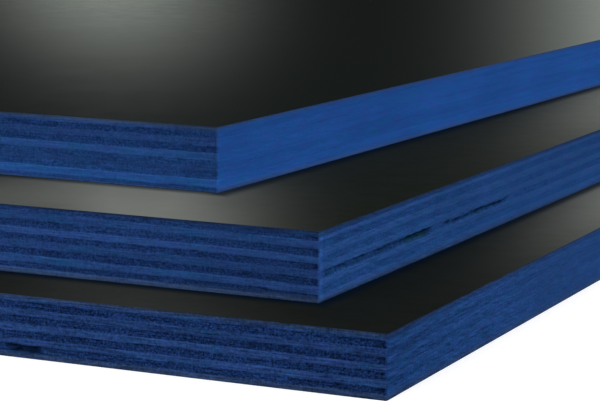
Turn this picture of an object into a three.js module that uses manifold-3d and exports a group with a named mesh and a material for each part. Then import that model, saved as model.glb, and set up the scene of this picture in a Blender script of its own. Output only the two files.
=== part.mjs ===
import * as THREE from 'three';
import { mergeVertices } from 'three/addons/utils/BufferGeometryUtils.js';
import Module from 'manifold-3d';

// Three sheets of film-faced plywood lying on each other. Each sheet is one panel, hot-pressed from
// cross-laid veneers: dark film covers its two faces, and its four sawn sides are sealed with paint.
// The sheets are pushed back a little from the one below, so that their edges step down in a corner.
// Lengths are in millimetres and angles in degrees. Every sheet is drawn from its stepped corner:
// its long side runs away along -X, its short side along +Y, and its thickness goes up along +Z.

// Sheet sizes
const sheetLength = 2500;
const sheetWidth = 1250;
const formSheetThickness = 18;
const baseSheetThickness = 16;

// Lay-ups, each veneer from the bottom face up. The plies take turns, the outer ones with their grain
// along the sheet's length, and a press brings them all together to the sheet's thickness.
const bottomVeneers = [1.4, 2, 1.8, 1.9, 1.8, 1.9, 1.8, 1.9, 1.5];
const middleVeneers = [1.7, 1.5, 2, 1.8, 2, 1.8, 1.8, 1.8, 2.1, 1, 0.5];
const topVeneers = [0.6, 1, 2.2, 1.8, 1.7, 1.7, 2, 2, 2, 1.5, 1.5];

// Sawn and sealed sides: end grain shrinks back a little behind the long-grain plies. A thin veneer
// limits how high its eased edges and its arris can be.
const endGrainSetBack = 0.2;
const plyEdgeEase = 0.12;
const mostEaseOfPly = 0.25;
const arris = 0.25;
const mostArrisOfPly = 0.5;
const cornerRadius = 1;
const cornerSegments = 4;

// How each sheet lies on the one below: set back from its end and its side, and turned about its corner
const middleBackFromEnd = 28.4;
const middleBackFromSide = 24;
const middleTurn = -0.44;
const topBackFromEnd = 49.7;
const topBackFromSide = 41.5;
const topTurn = -1.5;

// Hollows in one ply of a sheet's side, with so many plies below it. The saw has torn one ply of the
// middle sheet's end away near the corner. Gaps are where two strips of a ply don't meet.
const tornPly = { side: 'end', pliesBelow: 4, start: 2, length: 54, taper: 3, depth: 0.8 };
const endGap = { side: 'end', pliesBelow: 4, start: 52, length: 20, taper: 6, depth: 9 };
const splitPly = { side: 'end', pliesBelow: 4, start: 82, length: 50, taper: 22, depth: 5 };
const sideGap = { side: 'long', pliesBelow: 1, start: 94, length: 10, taper: 0.6, depth: 22 };
const hollowToGlueLine = 0.15;

const filmColour = 0x1d1f1d;
const filmRoughness = 0.45;

const wasm = await Module();
wasm.setup();

const sheets = [
  {
    name: 'sheet_bottom',
    thickness: baseSheetThickness,
    veneers: bottomVeneers,
    backFromEnd: 0,
    backFromSide: 0,
    turn: 0,
    hollows: [sideGap],
  },
  {
    name: 'sheet_middle',
    thickness: formSheetThickness,
    veneers: middleVeneers,
    backFromEnd: middleBackFromEnd,
    backFromSide: middleBackFromSide,
    turn: middleTurn,
    hollows: [tornPly, endGap, splitPly],
  },
  {
    name: 'sheet_top',
    thickness: formSheetThickness,
    veneers: topVeneers,
    backFromEnd: topBackFromEnd,
    backFromSide: topBackFromSide,
    turn: topTurn,
    hollows: [],
  },
];

// Heights of the glue lines, with the sheet's two faces, when the veneers are pressed to its thickness.
function glueLines(sheet) {
  const laid = [0];
  for (const veneer of sheet.veneers) {
    laid.push(laid.at(-1) + veneer);
  }
  return laid.map((height) => sheet.thickness * (height / laid.at(-1)));
}

// How far a ply stands behind the saw line at the sheet's long sides and at its two ends.
function plySetBack(ply) {
  const grainAlongLength = ply % 2 === 0;
  return {
    long: grainAlongLength ? 0 : endGrainSetBack,
    end: grainAlongLength ? endGrainSetBack : 0,
  };
}

// The levels of the side, from the bottom face up: an arris, two levels to each ply, and an arris.
function sideLevels(sheet) {
  const lines = glueLines(sheet);
  const levels = [];
  for (let ply = 0; ply < sheet.veneers.length; ply += 1) {
    const back = plySetBack(ply);
    const isBottom = ply === 0;
    const isTop = ply === sheet.veneers.length - 1;
    const plyThickness = lines[ply + 1] - lines[ply];
    const ease = Math.min(plyEdgeEase, mostEaseOfPly * plyThickness);
    const edge = Math.min(arris, mostArrisOfPly * plyThickness);
    if (isBottom) levels.push({ height: 0, long: back.long + edge, end: back.end + edge });
    levels.push({ height: lines[ply] + (isBottom ? edge : ease), ...back });
    levels.push({ height: lines[ply + 1] - (isTop ? edge : ease), ...back });
    if (isTop) levels.push({ height: lines[ply + 1], long: back.long + edge, end: back.end + edge });
  }
  return levels;
}

// One level's outline: a rectangle with small round corners, counter-clockwise seen from above.
function outline(level) {
  const right = -level.end - cornerRadius;
  const left = -sheetLength + level.end + cornerRadius;
  const front = level.long + cornerRadius;
  const back = sheetWidth - level.long - cornerRadius;
  const centres = [[right, front], [right, back], [left, back], [left, front]];
  const points = [];
  centres.forEach(([x, y], corner) => {
    for (let step = 0; step <= cornerSegments; step += 1) {
      const angle = (corner - 1 + step / cornerSegments) * Math.PI / 2;
      points.push([
        x + cornerRadius * Math.cos(angle),
        y + cornerRadius * Math.sin(angle),
        level.height,
      ]);
    }
  });
  return points;
}

// The sheet's body: its levels joined into one skin, closed by a flat face below and above.
function loftSheet(sheet) {
  const rings = sideLevels(sheet).map(outline);
  const perRing = rings[0].length;
  const middle = [-sheetLength / 2, sheetWidth / 2];
  const points = rings.flat();
  const bottomCentre = points.push([...middle, 0]) - 1;
  const topCentre = points.push([...middle, sheet.thickness]) - 1;
  const topRing = (rings.length - 1) * perRing;
  const triangles = [];
  for (let step = 0; step < perRing; step += 1) {
    const next = (step + 1) % perRing;
    for (let start = 0; start < topRing; start += perRing) {
      const above = start + perRing;
      triangles.push(start + step, start + next, above + next);
      triangles.push(start + step, above + next, above + step);
    }
    triangles.push(bottomCentre, next, step);
    triangles.push(topCentre, topRing + step, topRing + next);
  }
  const geometry = new THREE.BufferGeometry();
  geometry.setAttribute('position', new THREE.Float32BufferAttribute(points.flat(), 3));
  geometry.setIndex(triangles);
  return geometry;
}

// A hollow, open to the sheet's side: a flat slit with tapered ends, between its ply's glue lines.
function cutter(sheet, hollow) {
  const lines = glueLines(sheet);
  const low = lines[hollow.pliesBelow] + hollowToGlueLine;
  const high = lines[hollow.pliesBelow + 1] - hollowToGlueLine;
  const waist = (low + high) / 2;
  const end = hollow.start + hollow.length;
  const slit = new THREE.Shape([
    new THREE.Vector2(hollow.start, waist),
    new THREE.Vector2(hollow.start + hollow.taper, low),
    new THREE.Vector2(end - hollow.taper, low),
    new THREE.Vector2(end, waist),
    new THREE.Vector2(end - hollow.taper, high),
    new THREE.Vector2(hollow.start + hollow.taper, high),
  ]);
  const overcut = cornerRadius;
  const solid = new THREE.ExtrudeGeometry(slit, {
    depth: hollow.depth + overcut,
    bevelEnabled: false,
  });
  const up = new THREE.Vector3(0, 0, 1);
  const placing = new THREE.Matrix4();
  if (hollow.side === 'long') {
    placing.makeBasis(new THREE.Vector3(-1, 0, 0), up, new THREE.Vector3(0, 1, 0));
    placing.setPosition(0, -overcut, 0);
  } else {
    placing.makeBasis(new THREE.Vector3(0, 1, 0), up, new THREE.Vector3(1, 0, 0));
    placing.setPosition(-hollow.depth, 0, 0);
  }
  return solid.applyMatrix4(placing);
}

function toSolid(geometry) {
  geometry.deleteAttribute('normal');
  geometry.deleteAttribute('uv');
  const merged = mergeVertices(geometry);
  return new wasm.Manifold(new wasm.Mesh({
    numProp: 3,
    vertProperties: merged.attributes.position.array,
    triVerts: new Uint32Array(merged.index.array),
  }));
}

function toGeometry(solid) {
  const mesh = solid.getMesh();
  const geometry = new THREE.BufferGeometry();
  geometry.setAttribute('position', new THREE.BufferAttribute(mesh.vertProperties, 3));
  geometry.setIndex(new THREE.BufferAttribute(mesh.triVerts, 1));
  return geometry;
}

function sheetMesh(sheet) {
  let solid = toSolid(loftSheet(sheet));
  for (const hollow of sheet.hollows) {
    solid = solid.subtract(toSolid(cutter(sheet, hollow)));
  }
  const geometry = toGeometry(solid).toNonIndexed();
  geometry.computeVertexNormals();
  const film = new THREE.MeshStandardMaterial({
    color: filmColour,
    roughness: filmRoughness,
    metalness: 0,
  });
  const mesh = new THREE.Mesh(geometry, film);
  mesh.name = sheet.name;
  return mesh;
}

// Each sheet lies in the frame of the one below, flat on its top face.
const stack = new THREE.Group();
let below = stack;
let restHeight = 0;
for (const sheet of sheets) {
  const place = new THREE.Group();
  place.position.set(-sheet.backFromEnd, sheet.backFromSide, restHeight);
  place.rotation.z = THREE.MathUtils.degToRad(sheet.turn);
  place.add(sheetMesh(sheet));
  below.add(place);
  below = place;
  restHeight = sheet.thickness;
}

// The origin is under the middle of the stack's box, at the bottom face.
stack.updateMatrixWorld(true);
const box = new THREE.Box3().setFromObject(stack, true);
const centre = box.getCenter(new THREE.Vector3());
stack.position.set(-centre.x, -centre.y, -box.min.z);

export default stack;
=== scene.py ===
import math
from collections import namedtuple
from types import SimpleNamespace

import bpy
import numpy as np
from mathutils import Matrix, Vector


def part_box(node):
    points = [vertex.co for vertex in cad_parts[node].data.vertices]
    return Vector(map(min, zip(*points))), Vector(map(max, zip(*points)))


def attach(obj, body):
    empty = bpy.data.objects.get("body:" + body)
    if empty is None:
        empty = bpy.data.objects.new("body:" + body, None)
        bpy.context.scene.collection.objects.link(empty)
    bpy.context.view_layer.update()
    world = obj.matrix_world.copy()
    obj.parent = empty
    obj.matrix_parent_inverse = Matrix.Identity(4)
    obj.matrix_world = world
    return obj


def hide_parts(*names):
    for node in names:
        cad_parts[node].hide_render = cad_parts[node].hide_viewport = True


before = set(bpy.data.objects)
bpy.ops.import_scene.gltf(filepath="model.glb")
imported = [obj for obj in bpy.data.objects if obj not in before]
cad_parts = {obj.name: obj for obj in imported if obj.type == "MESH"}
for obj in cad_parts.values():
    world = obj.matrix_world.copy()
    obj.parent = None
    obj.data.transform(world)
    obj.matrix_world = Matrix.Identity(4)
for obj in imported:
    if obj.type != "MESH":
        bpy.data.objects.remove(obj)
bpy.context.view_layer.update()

# ---------------------------------------------------------------------------------------------
# The bottom sheet: a 16 mm film-faced plywood panel of nine cross-laid veneers, pressed between
# two films. A panel saw cut its four sides, and blue paint seals them: thin on this sheet, and
# torn and speckled on the end grain. It lies flat and carries the other two.

# Sizes are in millimetres, and MM takes them to the scene's metres
MM = 0.001
SHEET_LENGTH = 2500.0
SHEET_WIDTH = 1250.0
CORNER_RADIUS = 0.7
CORNER_STEPS = 5

# The mesh is finest at the stepped corner, and its steps grow as the sides run away from there
FINE_STEP = 0.45
STEP_GROWTH = 110.0
FAR_STEP = 11.0


def value_noise(u, v, seed):
    """Each whole (u, v) crossing has a fixed height, the fraction of a large multiple of a sine.
    Between crossings the heights are eased with 3t^2 - 2t^3. The result lies between -1 and 1."""
    iu, iv = np.floor(u), np.floor(v)
    fu, fv = u - iu, v - iv
    fu, fv = fu * fu * (3 - 2 * fu), fv * fv * (3 - 2 * fv)

    def height(a, b):
        """The fixed height of the crossing (a, b)."""
        h = np.sin(a * 127.1 + b * 311.7 + seed * 74.7) * 43758.5453
        return 2 * (h - np.floor(h)) - 1

    low = height(iu, iv) * (1 - fu) + height(iu + 1, iv) * fu
    high = height(iu, iv + 1) * (1 - fu) + height(iu + 1, iv + 1) * fu
    return low * (1 - fv) + high * fv


def ease(value, start, end):
    """Goes smoothly from 0 at start to 1 at end, as 3t^2 - 2t^3."""
    t = np.clip((value - start) / (end - start), 0, 1)
    return t * t * (3 - 2 * t)


def growing_stations(length):
    """Distances along a side: s = g (e^(k h / g) - 1), so that each step is h (1 + s / g) long."""
    steps = int(np.ceil(STEP_GROWTH / FINE_STEP * np.log(1 + length / STEP_GROWTH)))
    k = np.arange(steps + 1) / steps
    return STEP_GROWTH * (np.exp(k * np.log(1 + length / STEP_GROWTH)) - 1)


def sheet_outline():
    """The sheet's outline from its stepped corner, counter-clockwise: right end, back, left end and
    front, joined by quarter circles. Gives points, outward normals, the distance run from the
    stepped corner both ways, which meets itself at the far side of the sheet, and how far each
    column belongs to an end (1) or to a long side (0)."""
    r = CORNER_RADIUS
    end_run = growing_stations(SHEET_WIDTH - 2 * r)
    front_run = growing_stations(SHEET_LENGTH - 2 * r)[::-1]
    back_run = np.linspace(0, SHEET_LENGTH - 2 * r, int(SHEET_LENGTH / FAR_STEP))
    left_run = np.linspace(0, SHEET_WIDTH - 2 * r, int(SHEET_WIDTH / FAR_STEP))
    all_round = SHEET_LENGTH + SHEET_WIDTH
    sides = [
        (end_run, r + end_run, (0, r), (0, 1), (1, 0), 1.0),
        (back_run, SHEET_WIDTH + r + back_run, (-r, SHEET_WIDTH), (-1, 0), (0, 1), 0.0),
        (left_run, all_round - r - left_run, (-SHEET_LENGTH, SHEET_WIDTH - r), (0, -1), (-1, 0), 1.0),
        (front_run, r + front_run, (-r, 0), (-1, 0), (0, -1), 0.0),
    ]
    points, normals, runs, ends = [], [], [], []
    for number, (along, from_corner, start, direction, outward, is_end) in enumerate(sides):
        outward = np.array(outward, float)
        points.append(np.array(start) + along[:, None] * np.array(direction))
        normals.append(np.repeat(outward[None], len(along), 0))
        runs.append(from_corner)
        ends.append(np.full(len(along), is_end))
        turn = np.arange(1, CORNER_STEPS) / CORNER_STEPS
        angle = (number + turn) * math.pi / 2
        round_normals = np.stack([np.cos(angle), np.sin(angle)], 1)
        centre = points[-1][-1] - r * outward
        points.append(centre + r * round_normals)
        normals.append(round_normals)
        is_stepped_corner = number == len(sides) - 1
        runs.append(np.full(len(turn), 0.0 if is_stepped_corner else from_corner[-1]))
        ends.append(is_end * (1 - turn) + (1 - is_end) * turn)
    return np.concatenate(points), np.concatenate(normals), np.concatenate(runs), np.concatenate(ends)


# Rows of the mesh in each ply, as shares of its height, and how many a ply with a hollow has
PLY_ROWS = (0.0, 0.2, 0.8, 1.0)
ROWS_IN_OPEN_PLY = 8

# The top arris is barely broken, and along the foot the film is chipped back a little more
ARRIS = 0.14
FOOT_HEIGHT = 0.12
FOOT_DEPTH = 0.15

# A glue line wanders in slow and quick waves with a ragged edge, and less beside a thin veneer
GLUE_LINE = 0.20
GLUE_WANDER = 0.16
SLOW_WAVE = 31.0
QUICK_WAVE = 7.0
GLUE_RAG = 0.05
RAG_LENGTH = 1.6
LEVEL_VENEER = 1.5


def side_rows(veneers, dip, open_ply, run, end_share, seed):
    """The heights of the side's rows above each column, bottom up: the foot, some rows spread over
    each ply, and an arris. The glue lines between the plies wander up and down along the side. Near
    the stepped corner they dip, by at_corner e^(-run / fade), with one fade along the long side and
    another along the end. Gives heights, each row's ply, and its place in the ply, 0 low to 1
    high."""
    fade = end_share * dip["fade_along_end"] + (1 - end_share) * dip["fade_along_side"]
    lower = dip["at_corner"] * np.exp(-run / fade)
    lines = np.concatenate([[0], np.cumsum(veneers)])
    wander = np.zeros((len(lines), len(run)))
    for line in range(1, len(veneers)):
        own_place = np.full(len(run), 7.0 * line)
        slow = value_noise(run / SLOW_WAVE, own_place, seed + 20)
        quick = value_noise(run / QUICK_WAVE, own_place, seed + 21)
        ragged = value_noise(run / RAG_LENGTH, own_place, seed + 22)
        wavy = GLUE_WANDER * (0.6 * slow + 0.4 * quick) + GLUE_RAG * ragged
        thinner = min(veneers[line - 1], veneers[line])
        wander[line] = wavy * min(1, thinner / LEVEL_VENEER) ** 2 - lower
    top_ply = len(veneers) - 1
    heights, plies, across = [np.zeros(len(run))], [0], [0.0]
    for ply in range(len(veneers)):
        low = lines[ply] + wander[ply] + (FOOT_HEIGHT if ply == 0 else GLUE_LINE / 2)
        high = lines[ply + 1] + wander[ply + 1] - (ARRIS if ply == top_ply else GLUE_LINE / 2)
        for share in np.linspace(0, 1, ROWS_IN_OPEN_PLY) if ply == open_ply else PLY_ROWS:
            heights.append(low + share * (high - low))
            plies.append(ply)
            across.append(share)
    heights.append(np.full(len(run), lines[-1]))
    return np.array(heights), np.array(plies + [top_ply]), np.array(across + [1.0])


def side_grid(veneers, dip, hollows, seed):
    """The side as a grid of outline columns by ply rows. Gives the outline's points and normals, and
    for each point of the grid its run from the stepped corner, height, ply, place in the ply and
    share of an end, and whether it lies on the end or the long side that meet at that corner."""
    points, normals, run, end_share = sheet_outline()
    open_ply = hollows[0].ply if hollows else None
    height, ply, across = side_rows(veneers, dip, open_ply, run, end_share, seed)
    rows, columns = height.shape
    run = np.repeat(run[None], rows, 0)
    end_share = np.repeat(end_share[None], rows, 0)
    near = run < SHEET_WIDTH
    grid = SimpleNamespace(
        run=run,
        height=height,
        top=height[-1, 0],
        ply=np.repeat(ply[:, None], columns, 1),
        across=np.repeat(across[:, None], columns, 1),
        end_share=end_share,
        on_end=(end_share > 0.99) & near,
        on_long=(end_share < 0.01) & near,
        seed=seed,
        side_seed=seed + 10 * np.round(end_share),
    )
    return points, normals, grid


def blend_finish(grid, plies, long_side, end_side):
    """Each value of the finish on each point of the grid: the long side's, which may be a list with
    one for each ply, and the end's, blended round the corners."""
    finish = {}
    for key in long_side:
        on_sides = np.broadcast_to(long_side[key], plies)[grid.ply]
        on_ends = np.broadcast_to(end_side[key], plies)[grid.ply]
        finish[key] = grid.end_share * on_ends + (1 - grid.end_share) * on_sides
    return SimpleNamespace(**finish)


# A hollow in one ply of the end or the long side: its place and length from the stepped corner, its
# taper at both ends, its depth, the share of the ply's height that it fills, from low to high, and
# the share of its depth that teeth of wood take up
Hollow = namedtuple("Hollow", "side ply start length taper depth low high toothed")
LIP_WANDER = 0.12
LIP_WAVES = (3.1, 1.1)
LIP_SOFTNESS = 0.1
TOOTH_LENGTH = 0.8
FLOOR_LUMP = 1.4


def hollow_depth(hollows, grid):
    """How far each point lies down in a hollow of its ply: the deepest of depth x ends x opening x
    floor. The ends ease in over the taper, and the opening eases in at its ragged lips. Noise makes
    the floor uneven, and upright teeth of wood stand in it."""
    u, across, seed = grid.run, grid.across, grid.seed
    deep = np.zeros_like(u)
    for hollow in hollows:
        far = hollow.start + hollow.length
        lips = LIP_WANDER * value_noise(u / LIP_WAVES[0], across * 0 + hollow.depth, seed + 30)
        lips += LIP_WANDER * value_noise(u / LIP_WAVES[1], across * 2, seed + 32)
        low, high = hollow.low + lips, hollow.high + lips
        ends = ease(u, hollow.start, hollow.start + hollow.taper) * (1 - ease(u, far - hollow.taper, far))
        opening = ease(across, low - LIP_SOFTNESS, low + LIP_SOFTNESS)
        opening *= 1 - ease(across, high - LIP_SOFTNESS, high + LIP_SOFTNESS)
        tooth_noise = value_noise(u / TOOTH_LENGTH + across, across * 0.7 + hollow.depth, seed + 33)
        floor_height = 0.7 + 0.3 * value_noise(u / FLOOR_LUMP, across * 4, seed + 31)
        floor_height *= 1 - hollow.toothed * ease(tooth_noise, 0.0, 0.45)
        where = (grid.on_end if hollow.side == "end" else grid.on_long) & (grid.ply == hollow.ply)
        deep = np.maximum(deep, where * ends * opening * floor_height * hollow.depth)
    return deep


# Depths of the relief, and the lengths of its lumps along the side and up it
END_GRAIN_BACK = 0.05
END_GRAIN_TEAR = 0.10
TORN_FIBRE = (0.9, 0.6)
PIT_DEPTH = 0.22
PIT_SIZE = (1.5, 0.6)
ROUGH_PATCH = 17.0
LONG_GRAIN_FUR = 0.03
FUR_SIZE = (14.0, 0.5)
PLY_WANDER = 0.07
PLY_WAVE = 32.0
SAW_WANDER = 0.05
SAW_WAVE = 90.0
CHIP_DEPTH = 0.55
CHIP_FIBRE = (0.8, 0.4)
CHIP_STRIP = 0.45
MOST_RELIEF_OF_RADIUS = 0.55


def side_relief(grid, open_grain, hollows, chipped):
    """How far each point stands behind the saw line. Open end grain stands back, torn and pitted.
    Long grain is nearly flat, with a little fur. Every ply wanders a little of its own, and the saw
    has wandered slowly. End grain of the long side is chipped out near the stepped corner, and the
    hollows run in. Multiples of the side's seed and the ply only keep their patterns apart."""
    u, z, ply, across, seed = grid.run, grid.height, grid.ply, grid.across, grid.seed
    own = grid.side_seed
    torn = 0.5 + 0.5 * value_noise(u / TORN_FIBRE[0], z / TORN_FIBRE[1] + own * 17, seed)
    furred = 0.5 + 0.5 * value_noise(u / FUR_SIZE[0], z / FUR_SIZE[1] + own * 13, seed + 1)
    wander = 0.5 + 0.5 * value_noise(u / PLY_WAVE, ply * 3.7 + own, seed + 2)
    sawn = 0.5 + 0.5 * value_noise(u / SAW_WAVE, own, seed + 3)
    rough_patch = ease(value_noise(u / ROUGH_PATCH, ply * 2.3 + own, seed + 4), -0.2, 0.6)
    pits = open_grain * ease(value_noise(u / PIT_SIZE[0], z / PIT_SIZE[1] + own * 5, seed + 5), 0.2, 0.75)
    pits *= 0.35 + 0.65 * rough_patch
    relief = open_grain * (END_GRAIN_BACK + END_GRAIN_TEAR * torn) + PIT_DEPTH * pits
    relief += (1 - open_grain) * LONG_GRAIN_FUR * furred
    relief += PLY_WANDER * wander + SAW_WANDER * sawn

    hollow = hollow_depth(hollows, grid)
    reach = chipped * (0.75 + 0.4 * value_noise(z / CHIP_STRIP, u * 0, seed + 6))
    in_ply = ease(across, 0.0, 0.25) * (1 - ease(across, 0.75, 1.0))
    fibres = 0.6 + 0.4 * value_noise(u / CHIP_FIBRE[0], z / CHIP_FIBRE[1], seed + 7)
    chips = grid.on_long * (ply % 2) * in_ply * fibres * (u < reach) * ease(u, 0.4, 1.0)
    relief += hollow + CHIP_DEPTH * chips

    is_foot, is_arris = (z == 0), (z == grid.top)
    relief = np.where(is_foot, FOOT_DEPTH + SAW_WANDER * sawn, relief)
    relief = np.where(is_arris, ARRIS + SAW_WANDER * sawn, relief)
    on_corner = (grid.end_share > 0.001) & (grid.end_share < 0.999) & ~is_foot & ~is_arris
    relief = np.where(on_corner, np.minimum(relief, MOST_RELIEF_OF_RADIUS * CORNER_RADIUS), relief)
    return SimpleNamespace(depth=relief, hollow=hollow, pits=pits, furred=furred, chips=chips)


# The paint's tone and grit: patches along a ply, wear that fades from the stepped corner, a painted
# highlight along that corner, where paint has also built up, painted shade in pits and chips, darker
# arrises, and painted shade above the foot, whose row is the film's dark sawn edge
TONE_PATCH = 40.0
WEAR_FADE = 45.0
PALE_LINE = (1.2, 2.8)
PIT_SHADE = 0.3
CHIP_SHADE = 0.55
ARRIS_TONE = 0.55
ARRIS_BAND = (0.05, 0.5)
FOOT_TONE = 0.5
FOOT_SHADE_FADE = 0.4
GRIT_FADE = (40, 150)
GRIT_LOST_ON_END = 0.65
# How deep a hollow must be for its painted shade to be nearly full, and the share of it that the rows at
# its lips take
HOLLOW_SHADE_DEPTH = 0.4
LIP_SHARE = 0.85
# How far the arrises' painted highlight reaches below the top and above the foot
HIGHLIGHT_BELOW_TOP = (0.5, 1.3)
HIGHLIGHT_ABOVE_FOOT = (0.8, 1.8)


def sealer_values(grid, finish, relief):
    """The attributes that the sealer reads, one number for each point of the grid. The tone is the ply's
    own, times one factor for each cause, among them painted shade and a painted highlight. A hollow's
    value, its painted shade, is 1 - e^(-depth / shade depth), and the rows beside it take most of their
    neighbour's."""
    u, z, below_top = grid.run, grid.height, grid.top - grid.height
    uneven = 0.03 + 0.09 * finish.thin_paint
    patches = value_noise(u / TONE_PATCH, grid.ply * 5.3 + grid.side_seed, grid.seed + 8)
    tone = finish.tones * (1 + uneven * patches)
    tone *= 1 - finish.worn * np.exp(-u / WEAR_FADE)
    # A painted highlight along the stepped corner, where paint has also built up
    tone *= 1 + finish.pale_corner * (1 - ease(u, *PALE_LINE)) * (0.6 + 0.4 * relief.furred)
    # Painted shade in pits and chips
    tone *= (1 - PIT_SHADE * relief.pits) * (1 - CHIP_SHADE * relief.chips)
    tone *= ARRIS_TONE + (1 - ARRIS_TONE) * ease(below_top, *ARRIS_BAND)
    # The foot row is the film's dark sawn edge, and painted shade darkens the paint above it, fading
    # upwards
    tone = np.where(z == 0, FOOT_TONE, tone) * (1 - finish.dark_foot * np.exp(-z / FOOT_SHADE_FADE))
    # Painted shade in the hollows, spread onto the rows at their lips
    down = 1 - np.exp(-relief.hollow / HOLLOW_SHADE_DEPTH)
    lips = np.maximum(down[1:], down[:-1])
    down[1:] = np.maximum(down[1:], LIP_SHARE * lips)
    down[:-1] = np.maximum(down[:-1], LIP_SHARE * lips)
    # A painted highlight along the top arris and above the foot
    highlight_band = 2 - ease(below_top, *HIGHLIGHT_BELOW_TOP) - ease(z, *HIGHLIGHT_ABOVE_FOOT)
    return {
        "open_grain": finish.open_grain,
        "ply_tone": tone,
        "hollow": down,
        "thin_paint": finish.thin_paint,
        "bare_edge": finish.bare_edge * highlight_band,
        "grit": finish.grit * (1 - GRIT_LOST_ON_END * grid.end_share * ease(u, *GRIT_FADE)),
    }


# Each face has a narrow border, this share of the way out from its middle, and a fan inside it
FACE_BORDER = 0.996


def panel_points(points, normals, grid, depth, corner, turn):
    """The side's grid, moved inwards by its depth, then the low and high face's borders and their two
    middles. The sheet is turned about its stepped corner, which goes to its place."""
    columns = len(points)
    flat = points[None] - depth[..., None] * normals[None]
    side = np.concatenate([flat, grid.height[..., None]], 2).reshape(-1, 3)
    middle = np.array([-SHEET_LENGTH / 2, SHEET_WIDTH / 2])
    border = middle + (points - middle) * FACE_BORDER
    low_border = np.column_stack([border, np.zeros(columns)])
    high_border = np.column_stack([border, np.full(columns, grid.top)])
    centres = np.array([[*middle, 0.0], [*middle, grid.top]])
    vertices = np.concatenate([side, low_border, high_border, centres])
    angle = math.radians(turn)
    spin = np.array([[math.cos(angle), math.sin(angle)], [-math.sin(angle), math.cos(angle)]])
    vertices[:, :2] = vertices[:, :2] @ spin
    return vertices * MM + np.array(corner)


def panel_faces(rows, columns):
    """The side's squares, column by column between each two rows, and then the two faces: a border of
    squares and a fan of triangles to the middle. All of them point outwards."""
    j = np.arange(columns)
    after = (j + 1) % columns
    first = np.arange(rows - 1)[:, None] * columns
    squares = [first + j, first + after, first + columns + after, first + columns + j]
    side = np.stack(squares, -1).reshape(-1, 4)
    last, low, high = (rows - 1) * columns, rows * columns, (rows + 1) * columns
    low_middle, high_middle = high + columns, high + columns + 1
    low_edge = np.stack([after, j, low + j, low + after], 1)
    high_edge = np.stack([last + j, last + after, high + after, high + j], 1)
    low_fan = np.stack([low + after, low + j, np.full(columns, low_middle)], 1)
    high_fan = np.stack([high + j, high + after, np.full(columns, high_middle)], 1)
    flat = low_edge.tolist() + high_edge.tolist() + low_fan.tolist() + high_fan.tolist()
    return side.tolist(), flat


def sheet_mesh(name, veneers, dip, long_side, end_side, corner, turn, hollows, chipped, seed):
    """A sheet as one closed mesh: its side is a grid with relief, smooth and sealed, and its two faces
    are flat and filmed. The sealer's values are attributes of its points, and 0 on the faces."""
    points, normals, grid = side_grid(veneers, dip, hollows, seed)
    finish = blend_finish(grid, len(veneers), long_side, end_side)
    relief = side_relief(grid, finish.open_grain, hollows, chipped)
    vertices = panel_points(points, normals, grid, relief.depth, corner, turn)
    side, flat = panel_faces(*grid.run.shape)
    mesh = bpy.data.meshes.new(name)
    mesh.from_pydata(vertices.tolist(), [], side + flat)
    is_side = np.arange(len(side) + len(flat)) < len(side)
    mesh.polygons.foreach_set("use_smooth", is_side)
    mesh.polygons.foreach_set("material_index", is_side.astype(int))
    on_faces = np.zeros(len(vertices) - grid.run.size)
    for label, values in sealer_values(grid, finish, relief).items():
        attribute = mesh.attributes.new(label, "FLOAT", "POINT")
        attribute.data.foreach_set("value", np.concatenate([values.ravel(), on_faces]))
    mesh.update()
    panel = bpy.data.objects.new(name, mesh)
    bpy.context.scene.collection.objects.link(panel)
    return panel


def add_node(tree, kind, inputs=(), **settings):
    """Adds a shader node, sets its properties, and links or sets each input in the list."""
    node = tree.nodes.new(kind)
    for key, value in settings.items():
        setattr(node, key, value)
    for socket, value in inputs:
        if isinstance(value, bpy.types.NodeSocket):
            tree.links.new(value, node.inputs[socket])
        else:
            node.inputs[socket].default_value = value
    return node


def new_material(name):
    """A material with an empty Principled shader, and its node tree."""
    material = bpy.data.materials.new(name)
    material.use_nodes = True
    return material, material.node_tree, material.node_tree.nodes["Principled BSDF"]


def lumps(tree, size, detail=2.0, roughness=0.5, tilt=0.0):
    """Noise on Object coordinates, with lumps of a size in millimetres along X, Y and Z. The lumps
    can be tilted about X, by an angle in degrees."""
    place = add_node(tree, "ShaderNodeTexCoord").outputs["Object"]
    turned = (math.radians(tilt), 0, 0)
    metres = [MM * part for part in size]
    own = add_node(
        tree,
        "ShaderNodeMapping",
        [("Vector", place), ("Rotation", turned), ("Scale", metres)],
        vector_type="TEXTURE",
    )
    noise = add_node(
        tree,
        "ShaderNodeTexNoise",
        [("Vector", own.outputs["Vector"]), ("Scale", 1.0), ("Detail", detail), ("Roughness", roughness)],
    )
    return noise.outputs["Fac"]


def remap(tree, value, low, high, to_low, to_high):
    """Carries a value from one range to another, and clamps it there."""
    node = add_node(
        tree,
        "ShaderNodeMapRange",
        [("Value", value), ("From Min", low), ("From Max", high), ("To Min", to_low), ("To Max", to_high)],
    )
    return node.outputs["Result"]


def mix_colour(tree, share, first, second):
    """The first colour where the share is 0 and the second where it is 1."""
    node = add_node(tree, "ShaderNodeMix", [(0, share), (6, first), (7, second)], data_type="RGBA")
    return node.outputs[2]


def math_node(tree, operation, *values):
    """One sum, product or other operation on one, two or three values."""
    return add_node(tree, "ShaderNodeMath", enumerate(values), operation=operation).outputs[0]


# Nearly all values of a noise lie in this span
NOISE_SPAN = (0.3, 0.7)

# The sealer's patterns, each with the length of its lumps along X, Y and Z. The scratches slant on
# the ends.
PORES = (0.6, 0.6, 0.5)
STROKES = (0.45, 0.45, 2.4)
SCRATCHES = (1.1, 7.0, 0.6)
SCRATCH_TILT = -13.0
STREAKS = (9.0, 9.0, 0.35)
CLOUD_SIZE = (36, 36, 17)
TINT_SIZE = (7, 7, 2.2)

# How far a cloud shades the paint, how strongly each kind of mark does beside the pores, and the mean
# of all four marks together
CLOUD_SHADE = (0.92, 1.08)
STROKE_SHADE = 0.5
SCRATCH_SHADE = 0.7
STREAK_SHADE = 1.4
MEAN_OF_MARKS = 1.8
DARKEST_MARK = 0.2
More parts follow.
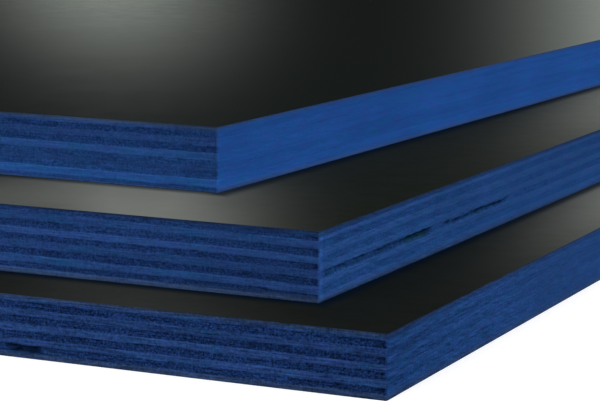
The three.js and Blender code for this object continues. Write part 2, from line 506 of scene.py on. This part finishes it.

# Its colours: by the paint's thickness, tinted in patches, on open end grain, a painted highlight at the
# arrises, and painted shade in a hollow, greener where raw wood shows and greyer in an empty gap where the
# paint is thinnest
THICK_PAINT = (0.0140, 0.0725, 0.295, 1)
THIN_PAINT = (0.0180, 0.0745, 0.250, 1)
THINNEST_PAINT = (0.0235, 0.0635, 0.212, 1)
WARM_TINT = (0.0255, 0.0580, 0.250, 1)
GREEN_TINT = (0.0100, 0.0820, 0.230, 1)
IN_PORES = (0.0045, 0.0125, 0.055, 1)
BETWEEN_PORES = (0.0145, 0.046, 0.173, 1)
# The pale colour of the arrises' painted highlight
ARRIS_HIGHLIGHT_COLOUR = (0.036, 0.068, 0.155, 1)
# A hollow's painted shade, its raw wood's colour, and the painted shade of an empty gap
HOLLOW_SHADE = (0.0065, 0.026, 0.075, 1)
HOLLOW_WOOD = (0.0110, 0.070, 0.095, 1)
GAP_SHADE = (0.0118, 0.037, 0.114, 1)

# Its surface: how dull it is where painted and on open end grain, and how high its fine bump stands
SEALER_ROUGHNESS = (0.55, 0.85)
SEALER_GLOSS = 0.005
SEALER_BUMP = 0.12


def sealer_colour(tree, value, pores):
    """The paint's own colour. Where it is thin, the wood's warm colour comes through. Open end grain is
    darker, with pores that the paint hasn't filled. A pale painted highlight runs along the arrises. A
    hollow gets painted shade, greener where raw wood shows at its deepest, and greyer where the paint is
    thinnest."""
    tint = lumps(tree, TINT_SIZE, detail=1.0)
    paint = mix_colour(tree, remap(tree, value["thin_paint"], 0, 0.5, 0, 1), THICK_PAINT, THIN_PAINT)
    paint = mix_colour(tree, remap(tree, value["thin_paint"], 0.5, 1, 0, 1), paint, THINNEST_PAINT)
    paint = mix_colour(tree, remap(tree, tint, 0.5, 0.75, 0, 0.5), paint, WARM_TINT)
    paint = mix_colour(tree, remap(tree, tint, 0.5, 0.25, 0, 0.5), paint, GREEN_TINT)
    porous = mix_colour(tree, remap(tree, pores, 0.38, 0.62, 0, 1), IN_PORES, BETWEEN_PORES)
    # Painted shade in a hollow, greener on raw wood, greyer where the paint is thinnest
    deep = mix_colour(tree, remap(tree, value["hollow"], 0.85, 1.0, 0, 1), HOLLOW_SHADE, HOLLOW_WOOD)
    deep = mix_colour(tree, remap(tree, value["thin_paint"], 0.6, 1.0, 0, 1), deep, GAP_SHADE)
    colour = mix_colour(tree, value["open_grain"], paint, porous)
    # Painted highlight along the arrises
    colour = mix_colour(tree, value["bare_edge"], colour, ARRIS_HIGHLIGHT_COLOUR)
    return mix_colour(tree, value["hollow"], colour, deep)


def sealer_strength(tree, value, pores, strokes):
    """How bright the paint is: the ply's tone x a slow cloud x (1 + grit (marks - their mean)). The
    marks are the pores and the saw's traces: upright strokes, long slanting scratches, streaks."""
    scratches = lumps(tree, SCRATCHES, tilt=SCRATCH_TILT)
    marks = math_node(tree, "MULTIPLY_ADD", strokes, STROKE_SHADE, pores)
    marks = math_node(tree, "MULTIPLY_ADD", scratches, SCRATCH_SHADE, marks)
    marks = math_node(tree, "MULTIPLY_ADD", lumps(tree, STREAKS), STREAK_SHADE, marks)
    off_mean = math_node(tree, "SUBTRACT", marks, MEAN_OF_MARKS)
    shade = math_node(tree, "MULTIPLY_ADD", off_mean, value["grit"], 1.0)
    shade = math_node(tree, "MAXIMUM", shade, DARKEST_MARK)
    cloud = remap(tree, lumps(tree, CLOUD_SIZE), *NOISE_SPAN, *CLOUD_SHADE)
    strength = math_node(tree, "MULTIPLY", value["ply_tone"], cloud)
    return math_node(tree, "MULTIPLY", strength, shade)


def edge_sealer():
    """Blue paint on sawn veneers: its colour times its strength, dull, and duller on open end grain,
    where its pores and the saw's upright strokes also stand out more in a fine bump."""
    material, tree, shader = new_material("edge_sealer")
    value = {}
    for label in ("open_grain", "ply_tone", "hollow", "thin_paint", "bare_edge", "grit"):
        value[label] = add_node(tree, "ShaderNodeAttribute", attribute_name=label).outputs["Fac"]
    pores = lumps(tree, PORES, detail=3.0, roughness=0.7)
    strokes = lumps(tree, STROKES)
    colour = sealer_colour(tree, value, pores)
    strength = sealer_strength(tree, value, pores, strokes)
    lit = add_node(tree, "ShaderNodeVectorMath", [(0, colour), ("Scale", strength)], operation="SCALE")
    tree.links.new(lit.outputs["Vector"], shader.inputs["Base Color"])
    rough = remap(tree, value["open_grain"], 0, 1, *SEALER_ROUGHNESS)
    tree.links.new(rough, shader.inputs["Roughness"])
    shader.inputs["Specular IOR Level"].default_value = SEALER_GLOSS
    relief = math_node(tree, "MULTIPLY", pores, remap(tree, value["open_grain"], 0, 1, 0.15, 1.0))
    relief = math_node(tree, "MULTIPLY_ADD", strokes, 0.25, relief)
    inputs = [("Strength", 0.8), ("Distance", SEALER_BUMP * MM), ("Height", relief)]
    bump = add_node(tree, "ShaderNodeBump", inputs)
    tree.links.new(bump.outputs["Normal"], shader.inputs["Normal"])
    return material


def place_on(corner, turn, back_from_end, back_from_side, rise=0.0):
    """A place on a sheet: back from its stepped corner along its own sides, in millimetres, and up."""
    angle = math.radians(turn)
    along = np.array([math.cos(angle), math.sin(angle)])
    across = np.array([-math.sin(angle), math.cos(angle)])
    step = (-back_from_end * along + back_from_side * across) * MM
    return corner + np.array([*step, rise])


def seen_from(tree, at, lean, size):
    """Object coordinates counted from a place, turned by a lean in degrees, in shares of a size."""
    place = add_node(tree, "ShaderNodeTexCoord").outputs["Object"]
    turned = (0, 0, math.radians(lean))
    inputs = [("Vector", place), ("Location", at), ("Rotation", turned), ("Scale", size)]
    return add_node(tree, "ShaderNodeMapping", inputs, vector_type="TEXTURE").outputs["Vector"]


# Soft patches of painted sheen stand in for the film's reflections, and the film is duller in them. Each
# has its place, half its width and length, its lean on the sheet in degrees, and the share of painted
# sheen at its middle.
SheenPatch = namedtuple("SheenPatch", "back_from_end back_from_side wide long lean amount")
# The painted sheen's colour, and how dull the film is where it lies
PAINTED_SHEEN_COLOUR = (0.142, 0.150, 0.137, 1)
SHEEN_PATCH_ROUGHNESS = 0.6
SMEAR_SIZE = (25, 40, 110)
SMEAR_SHARE = (0.94, 1.06)


def painted_sheen_amount(tree, patches, corner, turn):
    """The sum of soft patches of painted sheen, each amount e^(-(a^2 + b^2) / 2), where a and b are the
    distances from its middle in shares of its half width and half length. Slow smears vary it a little."""
    total = 0.0
    for patch in patches:
        middle = place_on(corner, turn, patch.back_from_end, patch.back_from_side)
        own = seen_from(tree, middle, turn + patch.lean, (patch.wide * MM, patch.long * MM, 1.0))
        square = add_node(tree, "ShaderNodeVectorMath", [(0, own), (1, own)], operation="DOT_PRODUCT")
        fade = math_node(tree, "EXPONENT", math_node(tree, "MULTIPLY", square.outputs["Value"], -0.5))
        total = math_node(tree, "MULTIPLY_ADD", fade, patch.amount, total)
    smears = remap(tree, lumps(tree, SMEAR_SIZE), *NOISE_SPAN, *SMEAR_SHARE)
    return math_node(tree, "MULTIPLY", total, smears)


# A painted shadow darkens the film close to the foot of the sheet above. The strip is fully dark for the
# first part of its width, and then fades out.
FOOT_SHADOW_WIDTH = 5.0
FOOT_SHADOW_FULL = 0.3
FOOT_SHADOW_SHARE = 0.82
FOOT_SHADOW_COLOUR = (0.0012, 0.0052, 0.0125, 1)


def painted_foot_shadow(tree, film, corner, turn, width_at_end, share_along_side):
    """Painted shadow darkens the film round the sheet above, which has its corner and turn. The distance
    from it is the greater of how far a place lies beyond its end and in front of its side, each in shares
    of the strip's width there. The strip's painted shadow is as dark as its share, which differs along the
    side."""
    size = (width_at_end * MM, FOOT_SHADOW_WIDTH * MM, 1.0)
    out = add_node(tree, "ShaderNodeSeparateXYZ", [(0, seen_from(tree, corner, turn, size))]).outputs
    in_front = math_node(tree, "MULTIPLY", out["Y"], -1.0)
    distance = math_node(tree, "MAXIMUM", out["X"], in_front)
    near = remap(tree, distance, FOOT_SHADOW_FULL, 1.0, 1.0, 0.0)
    share = remap(tree, out["X"], -0.5, 0.0, share_along_side, FOOT_SHADOW_SHARE)
    return mix_colour(tree, math_node(tree, "MULTIPLY", near, share), film, FOOT_SHADOW_COLOUR)


# The film's patterns: a mottle in its colour and dullness, and the sizes and heights of its pressed
# texture and of a slow swell
FILM_MOTTLE = (6.3, 6.3, 6.3)
PRESSED = (0.7, 0.7, 0.7)
PRESSED_HEIGHT = 0.01
SWELL = (62, 100, 1000)
SWELL_HEIGHT = 0.2


def phenolic_film(name, corner, turn, colour, roughness, gloss, sheen_patches=(), above=None):
    """Hard brown-black film with a fine pressed texture. Patches of painted sheen, standing in for its
    reflections, make it paler and duller. If a sheet lies above, a painted shadow round its foot comes
    last."""
    material, tree, shader = new_material(name)
    mottle = lumps(tree, FILM_MOTTLE, detail=3.0)
    darker = tuple(0.9 * part for part in colour)
    film = mix_colour(tree, remap(tree, mottle, *NOISE_SPAN, 0, 1), (*darker, 1), (*colour, 1))
    rough = remap(tree, mottle, *NOISE_SPAN, 1.1 * roughness, 0.9 * roughness)
    if sheen_patches:
        amount = painted_sheen_amount(tree, sheen_patches, corner, turn)
        # Painted sheen: the film turns paler and duller in the patches
        film = mix_colour(tree, amount, film, PAINTED_SHEEN_COLOUR)
        rough = math_node(tree, "ADD", rough, remap(tree, amount, 0, 1, 0, SHEEN_PATCH_ROUGHNESS - roughness))
    # Painted shadow round the foot of the sheet above
    if above:
        film = painted_foot_shadow(tree, film, **above)
    tree.links.new(film, shader.inputs["Base Color"])
    tree.links.new(rough, shader.inputs["Roughness"])
    shader.inputs["Specular IOR Level"].default_value = gloss
    pressed = lumps(tree, PRESSED)
    swell = lumps(tree, SWELL, detail=1.0)
    inputs = [("Strength", 0.2), ("Distance", PRESSED_HEIGHT * MM), ("Height", pressed)]
    fine = add_node(tree, "ShaderNodeBump", inputs)
    inputs = [("Strength", 0.15), ("Distance", SWELL_HEIGHT * MM), ("Height", swell)]
    wide = add_node(tree, "ShaderNodeBump", inputs + [("Normal", fine.outputs["Normal"])])
    tree.links.new(wide.outputs["Normal"], shader.inputs["Normal"])
    return material


sealer = edge_sealer()


def dress(panel, node, film):
    """Film on the faces, sealer on the sides, and the piece stands for its CAD sheet."""
    panel.data.materials.append(film)
    panel.data.materials.append(sealer)
    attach(panel, "root")
    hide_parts(node)


# How the three sheets lie: each is set back from the end and the side of the one below, and turned on
# it about its own corner
MIDDLE_BACK = (28.4, 24.0)
MIDDLE_TURN = -0.44
TOP_BACK = (49.7, 41.5)
TOP_TURN = -1.5
bottom_low, bottom_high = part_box("sheet_bottom")
middle_low, middle_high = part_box("sheet_middle")
bottom_turn = 0.0
middle_turn = bottom_turn + MIDDLE_TURN
top_turn = middle_turn + TOP_TURN
bottom_corner = np.array([bottom_high[0], bottom_low[1], bottom_low[2]])
middle_corner = place_on(bottom_corner, bottom_turn, *MIDDLE_BACK, bottom_high[2] - bottom_low[2])
top_corner = place_on(middle_corner, middle_turn, *TOP_BACK, middle_high[2] - middle_low[2])

# The veneers and the lists of the finish go ply by ply from the bottom face up
# In each finish, the dark foot, the pale corner and the pale edges are painted light: shade along the
# foot, a highlight along the stepped corner, and a highlight along the arrises.
bottom_panel = sheet_mesh(
    "panel_bottom",
    [1.4, 2.0, 1.8, 1.9, 1.8, 1.9, 1.8, 1.9, 1.5],
    dip={"at_corner": 0.3, "fade_along_side": 90, "fade_along_end": 30},
    long_side={
        "tones": [0.87, 1.09, 0.98, 0.99, 1.02, 0.91, 0.88, 0.97, 0.92],
        "open_grain": [0.1, 0.92, 0.1, 0.92, 0.05, 0.92, 0.15, 0.92, 0.15],
        "thin_paint": 1.0,
        "bare_edge": 0.85,
        "grit": 1.5,
        "worn": 0.25,
        "pale_corner": 0.0,
        "dark_foot": 0.0,
    },
    end_side={
        "tones": [0.96, 0.77, 0.91, 0.80, 0.91, 0.76, 0.84, 0.79, 0.77],
        "open_grain": [0.25, 0.0, 0.25, 0.0, 0.25, 0.0, 0.25, 0.0, 0.25],
        "thin_paint": 0.3,
        "bare_edge": 0.6,
        "grit": 1.4,
        "worn": [0.25, 0.08, 0.25, 0.08, 0.25, 0.08, 0.25, 0.08, 0.25],
        "pale_corner": 0.0,
        "dark_foot": 0.0,
    },
    corner=bottom_corner,
    turn=bottom_turn,
    hollows=[
        Hollow("long", 1, start=93.5, length=10.5, taper=1.6, depth=3.0, low=-0.3, high=0.95, toothed=0.3),
        Hollow("long", 1, start=84.0, length=12.0, taper=5.0, depth=0.35, low=0.2, high=0.75, toothed=0.8),
    ],
    chipped=3.6,
    seed=3,
)
bottom_film = phenolic_film(
    "film_bottom",
    bottom_corner,
    bottom_turn,
    colour=(0.0075, 0.0090, 0.0074),
    roughness=0.5,
    gloss=0.004,
    # Patches of painted sheen, standing in for reflections
    sheen_patches=[
        SheenPatch(74, 10, wide=18, long=60, lean=37, amount=0.12),
        SheenPatch(16, 255, wide=16, long=84, lean=11, amount=1.08),
    ],
    # A painted shadow round the foot of the middle sheet
    above={
        "corner": middle_corner,
        "turn": middle_turn,
        "width_at_end": 4.2,
        "share_along_side": FOOT_SHADOW_SHARE,
    },
)
dress(bottom_panel, "sheet_bottom", bottom_film)

# ---------------------------------------------------------------------------------------------
# The middle sheet: 18 mm and eleven veneers, made as the bottom one is. The saw has torn a ply of
# its right end away from the corner on, and beyond that two strips of the ply don't meet. It lies
# on the bottom sheet, a little back from its corner.

middle_panel = sheet_mesh(
    "panel_middle",
    [1.7, 1.5, 2.0, 1.8, 2.0, 1.8, 1.8, 1.8, 2.1, 1.0, 0.5],
    dip={"at_corner": 0.95, "fade_along_side": 45, "fade_along_end": 260},
    long_side={
        "tones": [1.30, 1.10, 1.16, 1.13, 1.00, 1.18, 1.18, 1.20, 1.05, 1.30, 0.66],
        "open_grain": [0.05, 0.78, 0.1, 0.85, 0.2, 0.8, 0.05, 0.78, 0.1, 0.75, 0.5],
        "thin_paint": 0.85,
        "bare_edge": [1.0, 1.0, 1.0, 0, 0, 0, 0, 0, 0, 0.1, 0.35],
        "grit": 0.9,
        "worn": [0.1, 0.3, 0.1, 0.3, 0.15, 0.3, 0.12, 0.25, 0.2, 0.3, 0.0],
        "pale_corner": 0.0,
        "dark_foot": 0.4,
    },
    end_side={
        "tones": [1.30, 1.17, 1.15, 1.05, 1.18, 0.99, 1.01, 0.93, 0.95, 0.97, 0.75],
        "open_grain": [0.25, 0.0, 0.25, 0.0, 0.5, 0.0, 0.3, 0.0, 0.3, 0.0, 0.3],
        "thin_paint": [0.35, 0.7, 0.35, 0.7, 0.35, 0.7, 0.35, 0.7, 0.35, 0.7, 0.35],
        "bare_edge": 0.55,
        "grit": 0.95,
        "worn": [0.0, -0.28, 0.05, -0.25, 0.0, -0.25, 0.05, -0.25, 0.05, -0.35, 0.05],
        "pale_corner": 0.3,
        "dark_foot": 0.85,
    },
    corner=middle_corner,
    turn=middle_turn,
    hollows=[
        Hollow("end", 4, start=1.5, length=55.0, taper=4.0, depth=0.55, low=-0.3, high=0.80, toothed=0.65),
        Hollow("end", 4, start=52.5, length=21.5, taper=5.0, depth=2.2, low=-0.3, high=0.80, toothed=0.3),
        Hollow("end", 4, start=80.0, length=24.0, taper=6.0, depth=0.7, low=0.0, high=0.60, toothed=0.9),
        Hollow("end", 4, start=99.0, length=35.0, taper=8.0, depth=1.2, low=0.0, high=0.62, toothed=0.7),
    ],
    chipped=2.3,
    seed=5,
)
middle_film = phenolic_film(
    "film_middle",
    middle_corner,
    middle_turn,
    colour=(0.0088, 0.0108, 0.0080),
    roughness=0.5,
    gloss=0.004,
    # Patches of painted sheen, standing in for reflections
    sheen_patches=[
        SheenPatch(54, 12, wide=17.5, long=100, lean=27, amount=1.02),
        SheenPatch(100, 12, wide=20, long=100, lean=-6, amount=0.40),
        SheenPatch(25, 355, wide=20.3, long=120, lean=13, amount=1.02),
    ],
    # A painted shadow round the foot of the top sheet
    above={
        "corner": top_corner,
        "turn": top_turn,
        "width_at_end": 6.0,
        "share_along_side": 0.62,
    },
)
dress(middle_panel, "sheet_middle", middle_film)

# ---------------------------------------------------------------------------------------------
# The top sheet: 18 mm and eleven veneers again, turned a little more. Its film is nearly glossy and has no
# painted sheen, and the sealer has filled the grain of its right end, so that few veneers show there.

top_panel = sheet_mesh(
    "panel_top",
    [0.6, 1.0, 2.2, 1.8, 1.7, 1.7, 2.0, 2.0, 2.0, 1.5, 1.5],
    dip={"at_corner": 0.22, "fade_along_side": 600, "fade_along_end": 110},
    long_side={
        "tones": [1.35, 1.28, 1.49, 1.31, 1.18, 1.33, 1.46, 1.12, 1.18, 1.17, 1.18],
        "open_grain": [0.1, 0.4, 0.0, 0.6, 0.4, 0.6, 0.1, 0.75, 0.35, 0.8, 0.3],
        "thin_paint": [0.5, 0.3, 0.4, 0.4, 0.7, 0.5, 0.7, 0.4, 0.9, 0.5, 0.9],
        "bare_edge": [0.8, 0.1, 0, 0, 0, 0, 0, 0, 0, 1, 1],
        "grit": 0.7,
        "worn": 0.25,
        "pale_corner": 0.0,
        "dark_foot": 0.3,
    },
    end_side={
        "tones": [1.59, 1.49, 1.47, 1.31, 1.28, 1.25, 1.35, 1.26, 1.28, 1.16, 1.16],
        "open_grain": [0.05, 0.0, 0.05, 0.0, 0.05, 0.0, 0.05, 0.0, 0.05, 0.0, 0.05],
        "thin_paint": 0.0,
        "bare_edge": 0.55,
        "grit": 0.35,
        "worn": 0.06,
        "pale_corner": 0.0,
        "dark_foot": 0.5,
    },
    corner=top_corner,
    turn=top_turn,
    hollows=[],
    chipped=0,
    seed=8,
)
top_film = phenolic_film(
    "film_top",
    top_corner,
    top_turn,
    colour=(0.0098, 0.0136, 0.0130),
    roughness=0.1,
    gloss=0.5,
)
dress(top_panel, "sheet_top", top_film)

# ---------------------------------------------------------------------------------------------
# The floor: wide and pale. It looks white, straight and in a mirror, with a little light of its own,
# and sends less light back to the stack than it looks to.

FLOOR_REACH = 60.0
FLOOR_SEEN = (0.94, 0.94, 0.94, 1)
FLOOR_SENDS_BACK = (0.35, 0.35, 0.35, 1)
FLOOR_OWN_LIGHT = 0.2
floor_mesh = bpy.data.meshes.new("floor")
reach = [(-FLOOR_REACH, -FLOOR_REACH, 0), (FLOOR_REACH, -FLOOR_REACH, 0)]
reach += [(FLOOR_REACH, FLOOR_REACH, 0), (-FLOOR_REACH, FLOOR_REACH, 0)]
floor_mesh.from_pydata(reach, [], [(0, 1, 2, 3)])
floor = bpy.data.objects.new("floor", floor_mesh)
bpy.context.scene.collection.objects.link(floor)
floor_paint, floor_tree, floor_shader = new_material("floor_white")
seen = add_node(floor_tree, "ShaderNodeLightPath").outputs
seen_straight = math_node(floor_tree, "MAXIMUM", seen["Is Camera Ray"], seen["Is Glossy Ray"])
seen_straight = math_node(floor_tree, "MAXIMUM", seen_straight, seen["Is Transmission Ray"])
floor_colour = mix_colour(floor_tree, seen_straight, FLOOR_SENDS_BACK, FLOOR_SEEN)
floor_tree.links.new(floor_colour, floor_shader.inputs["Base Color"])
floor_shader.inputs["Emission Color"].default_value = (1, 1, 1, 1)
floor_glow = math_node(floor_tree, "MULTIPLY", seen_straight, FLOOR_OWN_LIGHT)
floor_tree.links.new(floor_glow, floor_shader.inputs["Emission Strength"])
floor_shader.inputs["Roughness"].default_value = 0.9
floor_shader.inputs["Specular IOR Level"].default_value = 0.0
floor_mesh.materials.append(floor_paint)

# ---------------------------------------------------------------------------------------------
# The daylight of a dim hall: faint far windows that the film mirrors, broad soft lamps behind the
# camera, and a weaker one beyond the stack. Bearings are counted in degrees to the right of the
# camera's heading, and elevations up from level.

HEADING = 24.998
HALL_DIM = (0.006, 0.0065, 0.0062)
WINDOW_COLOUR = (0.93, 1.0, 0.92)

world = bpy.data.worlds.new("hall")
bpy.context.scene.world = world
world.use_nodes = True
hall = world.node_tree
ray = add_node(hall, "ShaderNodeTexCoord").outputs["Generated"]
to_heading = (0, 0, -math.radians(HEADING))
ahead = add_node(hall, "ShaderNodeMapping", [("Vector", ray), ("Rotation", to_heading)])
ahead_x, ahead_y, ahead_z = add_node(hall, "ShaderNodeSeparateXYZ", [(0, ahead.outputs["Vector"])]).outputs
ray_bearing = math_node(hall, "MULTIPLY", math_node(hall, "ARCTAN2", ahead_x, ahead_y), 180 / math.pi)
ray_elevation = math_node(hall, "MULTIPLY", math_node(hall, "ARCSINE", ahead_z), 180 / math.pi)


def far_window(bearing, elevation, wide, high, lean, strength):
    """A soft bright patch of the hall: strength e^(-(b^2 + e^2) / 2), where b and e are the distances
    from its middle in shares of its half width and half height. It leans with its elevation."""
    rise = math_node(hall, "SUBTRACT", ray_elevation, elevation)
    leaning = math_node(hall, "MULTIPLY", rise, lean)
    off = math_node(hall, "SUBTRACT", math_node(hall, "SUBTRACT", ray_bearing, bearing), leaning)
    b = math_node(hall, "DIVIDE", off, wide)
    e = math_node(hall, "DIVIDE", rise, high)
    square = math_node(hall, "ADD", math_node(hall, "MULTIPLY", b, b), math_node(hall, "MULTIPLY", e, e))
    fade = math_node(hall, "EXPONENT", math_node(hall, "MULTIPLY", square, -0.5))
    return math_node(hall, "MULTIPLY", fade, strength)


windows = far_window(-4.85, 3.75, wide=1.88, high=1.04, lean=0.3, strength=0.46)
for other in (
    far_window(10.0, 5.0, wide=2.37, high=4.0, lean=0.0, strength=0.59),
    far_window(-130.0, 16.0, wide=16.0, high=9.0, lean=0.0, strength=0.18),
    far_window(115.0, 16.0, wide=16.0, high=9.0, lean=0.0, strength=0.18),
):
    windows = math_node(hall, "ADD", windows, other)
glow = add_node(hall, "ShaderNodeVectorMath", [(0, WINDOW_COLOUR), ("Scale", windows)], operation="SCALE")
hall_light = add_node(hall, "ShaderNodeVectorMath", [(0, glow.outputs["Vector"]), (1, HALL_DIM)])
background = hall.nodes["Background"]
hall.links.new(hall_light.outputs["Vector"], background.inputs["Color"])
background.inputs["Strength"].default_value = 1.0


def compass(bearing, elevation):
    """A unit vector that points to a bearing and an elevation."""
    a = math.radians(bearing - HEADING)
    e = math.radians(elevation)
    return Vector((math.sin(a) * math.cos(e), math.cos(a) * math.cos(e), math.sin(e)))


def sun(name, bearing, elevation, spread, strength):
    """A soft distant lamp in the given direction, as wide as its spread in degrees. The film doesn't
    mirror it: it mirrors the hall."""
    data = bpy.data.lights.new(name, "SUN")
    data.angle = math.radians(spread)
    data.energy = strength
    lamp = bpy.data.objects.new(name, data)
    lamp.visible_glossy = False
    lamp.rotation_mode = "QUATERNION"
    lamp.rotation_quaternion = compass(bearing, elevation).to_track_quat("Z", "Y")
    bpy.context.scene.collection.objects.link(lamp)


sun("key_right", bearing=125.0, elevation=48.0, spread=50.0, strength=2.47)
sun("fill_left", bearing=-150.0, elevation=42.0, spread=60.0, strength=1.86)
sun("back_low", bearing=-15.0, elevation=28.0, spread=40.0, strength=1.0)

# ---------------------------------------------------------------------------------------------
# The camera: a long lens, low over the stepped corner, pitched down and rolled a little.

LENS = 136.33
SENSOR_WIDTH = 36.0
PITCH = 9.214
ROLL = 0.338
CAMERA_FROM_CORNER = (198.54, -474.35, 130.3)

camera_data = bpy.data.cameras.new("camera")
camera_data.lens = LENS
camera_data.sensor_width = SENSOR_WIDTH
camera_data.clip_start = 0.01
camera_data.clip_end = 200.0
camera = bpy.data.objects.new("camera", camera_data)
bpy.context.scene.collection.objects.link(camera)
forward = compass(0.0, -PITCH)
level_right = compass(90.0, 0.0)
level_up = level_right.cross(forward)
roll = math.radians(ROLL)
right = math.cos(roll) * level_right + math.sin(roll) * level_up
up = right.cross(forward)
place = Vector(bottom_corner) + Vector(CAMERA_FROM_CORNER) * MM
axes = Matrix((right, up, -forward)).transposed()
camera.matrix_world = Matrix.Translation(place) @ axes.to_4x4()
bpy.context.scene.camera = camera

bpy.context.scene.view_settings.view_transform = "Standard"
